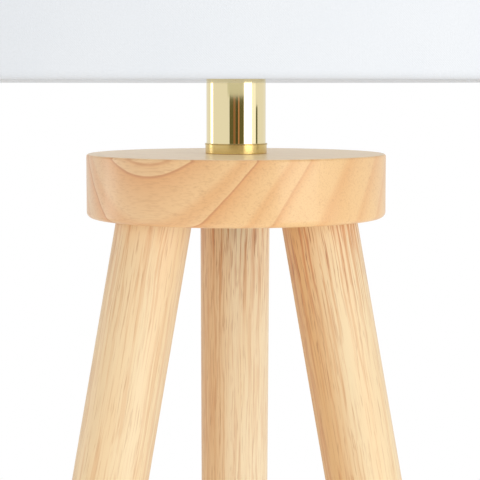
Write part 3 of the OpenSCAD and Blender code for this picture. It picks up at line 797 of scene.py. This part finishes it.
low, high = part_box("shade_lower_wire")
wire_radius = (high.z - low.z) / 2
wire_ring = high.x - wire_radius
wire_level = (low.z + high.z) / 2
arm_turns = (30, 150, 270)
weld_size, weld_lumps, weld_bite = (0.0019, 0.0030, 0.0019), 0.07, 0.8 * wire_radius
weld_draws = random.Random(7)
welds = bmesh.new()
bmesh.ops.create_icosphere(welds, subdivisions=3, radius=1)
bmesh.ops.scale(welds, verts=welds.verts, vec=weld_size)
for vert in welds.verts:
    vert.co *= 1 + weld_lumps * (weld_draws.random() - 0.5)
bmesh.ops.smooth_vert(welds, verts=welds.verts, factor=0.5, use_axis_x=True, use_axis_y=True, use_axis_z=True)
weld_place = Matrix.Translation((wire_ring - weld_bite, 0, wire_level + weld_bite))
repeated(welds, [Matrix.Rotation(math.radians(turn), 4, "Z") @ weld_place for turn in arm_turns])
made("fitter_welds", welds, wire_coat, "shade")


# ---- Shade lining ----
# A stiff white plastic sheet that keeps the cloth flat and spreads the light, rolled into a drum
# and glued along a lap at the back.

shade_radius = shade_box[1].x
cloth_thickness, lining_thickness = 0.0005, 0.0006
glue = 0.00005
lap_width, lap_ease = 0.012, 0.010
roll_steps = 240
levels = 14
lining_short = 0.003


def rolled(outline, thickness):
    """Rolls a sheet, whose edge follows outline, into a drum with a lap at the back. Returns its bmesh
    and its flat size."""
    shape = bmesh.new()
    corners = [shape.verts.new((radius, 0, height)) for radius, height in outline]
    edges = [shape.edges.new(pair) for pair in zip(corners, corners[1:])]
    radius = max(radius for radius, _ in outline)
    sweep = 2 * math.pi + lap_width / radius
    bmesh.ops.spin(shape, geom=corners + edges, axis=(0, 0, 1), cent=(0, 0, 0), dvec=(0, 0, 0),
                   angle=sweep, steps=roll_steps)
    shape.verts.index_update()
    shape.verts.ensure_lookup_table()
    travelled = [0.0]
    for first, second in zip(outline, outline[1:]):
        travelled.append(travelled[-1] + math.dist(first, second))
    cut = shape.loops.layers.uv.new("cut")
    row = len(outline)
    for face in shape.faces:
        for loop in face.loops:
            column, place = divmod(loop.vert.index, row)
            loop[cut].uv = (radius * sweep * column / roll_steps, travelled[place])
    for vert in shape.verts:
        along = sweep * (vert.index // row) / roll_steps * radius
        over = min(1, max(0, (along - (2 * math.pi * radius - lap_ease)) / lap_ease))
        over = over * over * (3 - 2 * over)
        ratio = 1 + over * (thickness + glue) / radius
        vert.co.x *= ratio
        vert.co.y *= ratio
    to_back = Matrix.Rotation(math.pi / 2, 3, "Z")
    bmesh.ops.rotate(shape, verts=shape.verts, cent=(0, 0, 0), matrix=to_back)
    return shape, (radius * sweep, travelled[-1])


lining_radius = shade_radius - cloth_thickness - glue
low, high = shade_box[0].z + lining_short, shade_box[1].z - lining_short
edge_line = [(lining_radius, low + (high - low) * i / levels) for i in range(levels + 1)]
lining, lining_flat = rolled(edge_line, lining_thickness)
lining_sheet = surface("white_lining", (0.92, 0.925, 0.93), (0.945, 0.95, 0.95), 30, 0.00001, (1, 1, 0.2),
                       Roughness=0.4)
lining_piece = made("shade_lining_rolled", lining, lining_sheet, "shade", ["shade_liner"])
wall = lining_piece.modifiers.new("wall", "SOLIDIFY")
wall.thickness, wall.offset = lining_thickness, -1


# ---- Shade cloth ----
# Fine white cotton in a plain weave, laminated on the lining. Its edges turn in round both wires and
# are glued inside as narrow tabs, notched where the fitter's arms reach the lower wire.

tab_glue = 0.0001
wrap_radius = wire_radius + cloth_thickness + tab_glue
tab_height = 0.010
tab_radius = shade_radius - cloth_thickness - lining_thickness - tab_glue
turn_in = shade_radius - wire_ring
thread_pitch = 0.00042
notch_half = math.radians(0.8)
tab_reach = tab_radius + 0.0002


def arc(centre, radius, first, last, steps):
    """Points of an arc between two angles in degrees, each as its radius and height."""
    sweep = [math.radians(first + (last - first) * i / steps) for i in range(steps + 1)]
    return [(centre[0] + radius * math.cos(angle), centre[1] + radius * math.sin(angle)) for angle in sweep]


low, high = shade_box[0].z, shade_box[1].z
wrap = [(tab_radius, tab_height), (tab_radius, 2.6 * wrap_radius)]
wrap += arc((wire_ring, wrap_radius), wrap_radius, 60, 270, 14)
wrap += arc((wire_ring, turn_in), turn_in, 270, 360, 8)[1:]
outline = [(radius, low + height) for radius, height in wrap]
body_low, body_high = low + turn_in, high - turn_in
outline += [(shade_radius, body_low + (body_high - body_low) * i / levels) for i in range(1, levels)]
outline += [(radius, high - height) for radius, height in reversed(wrap)]
cloth, cloth_flat = rolled(outline, cloth_thickness)
notched = []
for face in cloth.faces:
    middle = face.calc_center_median()
    azimuth = math.atan2(middle.y, middle.x)
    inside = math.hypot(middle.x, middle.y) < tab_reach and middle.z < low + 1.2 * tab_height
    for turn in arm_turns:
        apart = (azimuth - math.radians(turn) + math.pi) % (2 * math.pi) - math.pi
        if inside and abs(apart) < notch_half and middle.z > low + 0.5 * wrap_radius:
            notched.append(face)
bmesh.ops.delete(cloth, geom=notched, context="FACES")

shade_cloth, tree, shader = finish("shade_cloth", Roughness=0.9)
cut = put(tree, "UVMap", uv_map="cut").outputs[0]
place = put(tree, "TexCoord").outputs["Object"]
sides = put(tree, "SeparateXYZ", {0: cut}).outputs
waves = []
for side in ("X", "Y"):
    turns = math_node(tree, "MULTIPLY", sides[side], math.pi / thread_pitch)
    waves.append(math_node(tree, "SINE", turns))
weave = math_node(tree, "MULTIPLY", *waves)
weave = put(tree, "MapRange", {"Value": weave, "From Min": -1.0, "From Max": 1.0}).outputs[0]
warp_slubs = noise(tree, cut, 1500, (1, 0.03, 1), 2, 0.6)
weft_slubs = noise(tree, cut, 1500, (0.03, 1, 1), 2, 0.6, (0.2, 0.3, 0))
slubs = math_node(tree, "ADD", warp_slubs, weft_slubs)
cool_white, warm_white = (0.755, 0.78, 0.81), (0.78, 0.80, 0.825)
slub_grey, gap_grey = (0.67, 0.69, 0.71), (0.63, 0.65, 0.67)
tone = ramp(tree, noise(tree, place, 22, (1, 1, 1), 3, 0.6), [(0.3, cool_white), (0.7, warm_white)])
tone = blend(tree, ramp(tree, slubs, [(0.42, 0.10), (0.58, 0.0)]), tone, slub_grey)
tone = blend(tree, ramp(tree, weave, [(0.0, 0.06), (0.5, 0.0)]), tone, gap_grey)
tree.links.new(tone, shader.inputs["Base Color"])
bump(tree, shader, weave, 0.00002)
bump(tree, shader, slubs, 0.00003)
cloth_piece = made("shade_cloth_rolled", cloth, shade_cloth, "shade",
                   ["shade_cover", "shade_lower_hem", "shade_upper_hem"])
wall = cloth_piece.modifiers.new("wall", "SOLIDIFY")
wall.thickness, wall.offset = cloth_thickness, -1


# ---- Bulb ----
# A screw-cap LED bulb: a rolled nickel cap with a black glass insulator and a solder button, a white
# plastic body, and a milky globe over a round board of ten chips.

nickel = surface("nickel", (0.60, 0.59, 0.56), (0.74, 0.73, 0.71), 130, 0.00001, Metallic=1.0, Roughness=0.22)
solder = surface("solder", (0.52, 0.53, 0.54), (0.66, 0.67, 0.68), 500, 0.00004, Metallic=1.0, Roughness=0.34)
black_glass = surface("black_glass", (0.010, 0.010, 0.012), (0.016, 0.016, 0.020), 300, 0.00001,
                      Roughness=0.1)
bulb_white = surface("bulb_white", (0.82, 0.82, 0.81), (0.86, 0.86, 0.85), 80, 0.00001, Roughness=0.35)
globe_milk = surface("globe_milk", (0.84, 0.84, 0.82), (0.88, 0.88, 0.865), 60, 0.00001, Roughness=0.45,
                     Subsurface_Weight=0.4, Subsurface_Radius=(1, 1, 1), Subsurface_Scale=0.004)

low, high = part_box("bulb_contact")
button_line = [(0, low.z)]
for angle in range(15, 91, 15):
    drop = math.cos(math.radians(angle))
    button_line.append((high.x * math.sin(math.radians(angle)), high.z - (high.z - low.z) * drop))
button_line.append((0, high.z))
button = bmesh.new()
turned(button, button_line, steps=40)
made("bulb_contact_soldered", button, solder, "bulb", ["bulb_contact"])
nodes["bulb_insulator"].material_slots[0].material = black_glass

low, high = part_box("bulb_cap")
cap_crest, cap_depth, cap_foot, cap_taper = high.x, 0.0009, 0.001, 0.0022
cap_thread = threaded(cap_crest - cap_depth, cap_crest, lamp_pitch,
                      low.z + cap_foot, high.z, 0.0, 64, round_thread)
cap_base = bmesh.new()
turned(cap_base, [(0, low.z), (cap_crest - cap_taper, low.z), (cap_crest - cap_depth, low.z + cap_foot),
                  (0, low.z + cap_foot)], steps=64)
made("bulb_cap_rolled", together(cap_thread, cap_base), nickel, "bulb", ["bulb_cap"])
nodes["bulb_body"].material_slots[0].material = bulb_white
nodes["bulb_globe"].material_slots[0].material = globe_milk

chip_height = 0.0004
board_white, chip_yellow = (0.82, 0.82, 0.80), (0.85, 0.62, 0.10)
led_board, tree, shader = finish("led_board", Roughness=0.35)
place = put(tree, "TexCoord").outputs["Object"]
chip_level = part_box("led_plate")[1].z - chip_height
on_chip = math_node(tree, "GREATER_THAN", height_of(tree, place), chip_level)
tree.links.new(blend(tree, on_chip, board_white, chip_yellow), shader.inputs["Base Color"])
bump(tree, shader, noise(tree, place, 2500, (1, 1, 1), 2, 0.5), 0.00001)
nodes["led_plate"].material_slots[0].material = led_board
